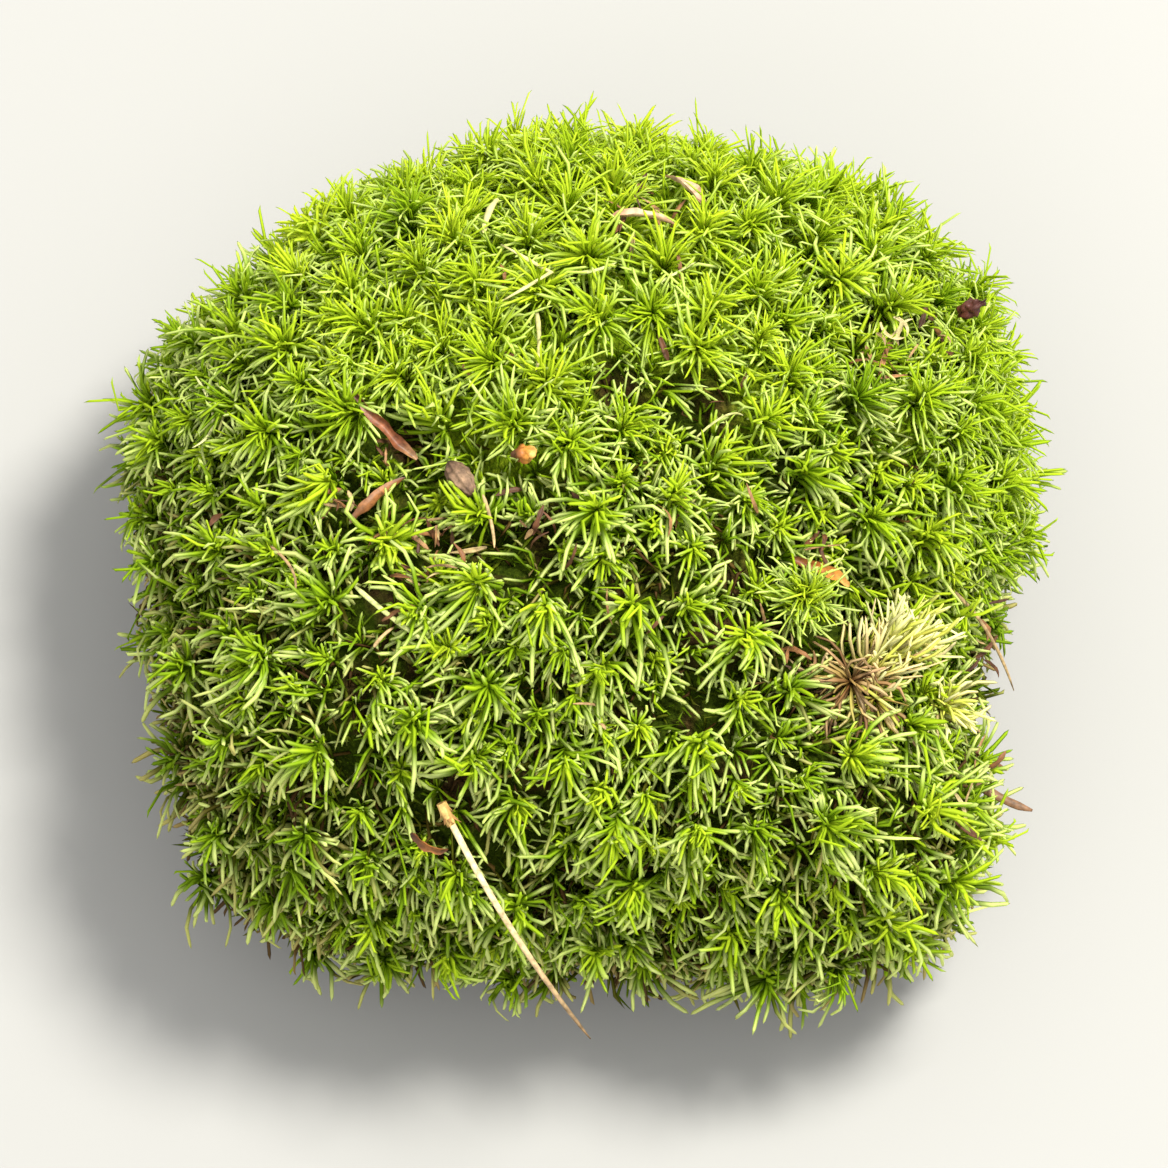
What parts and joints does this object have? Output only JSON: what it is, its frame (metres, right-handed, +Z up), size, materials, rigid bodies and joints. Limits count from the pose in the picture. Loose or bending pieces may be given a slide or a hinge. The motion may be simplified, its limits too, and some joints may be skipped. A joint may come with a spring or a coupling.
{
  "type": "moss clump",
  "caption": "Dome-shaped clump of broom moss on its own mat of humus, cut off flat below, with forest litter caught in it.",
  "frame": {"origin": "middle of the flat cut under the humus, on the surface that the clump rests on", "axes": "+Z up through the crown, -Y towards the front, the side that the picture shows nearest, +X to the right"},
  "size_m": [0.0992, 0.1031, 0.0591],
  "materials": {
    "moss": "living moss leaves, satin, slightly see-through against the light",
    "humus": "matt crumbly humus with old roots",
    "withered_moss": "matt dead moss leaves",
    "straw": "dry needle and straw, satin",
    "dry_leaf": "matt dry leaf",
    "bark": "matt thin bark scale",
    "orange_scale": "dry bud scale, satin",
    "seed": "matt ribbed pod"
  },
  "bodies": {
    "root": {"moss_cushion": "moss", "humus_base": "humus", "withered_shoot": "withered_moss", "pine_needle": "straw", "bent_straw": "straw", "short_straw": "straw", "tan_leaf_left": "dry_leaf", "tan_leaf_right": "dry_leaf", "pale_stub": "straw", "bark_scale": "bark", "front_scale": "bark", "red_bud": "bark", "bark_flake": "orange_scale", "bud_scale": "orange_scale", "orange_bud": "orange_scale", "seed_pod": "seed"}
  },
  "joints": []
}
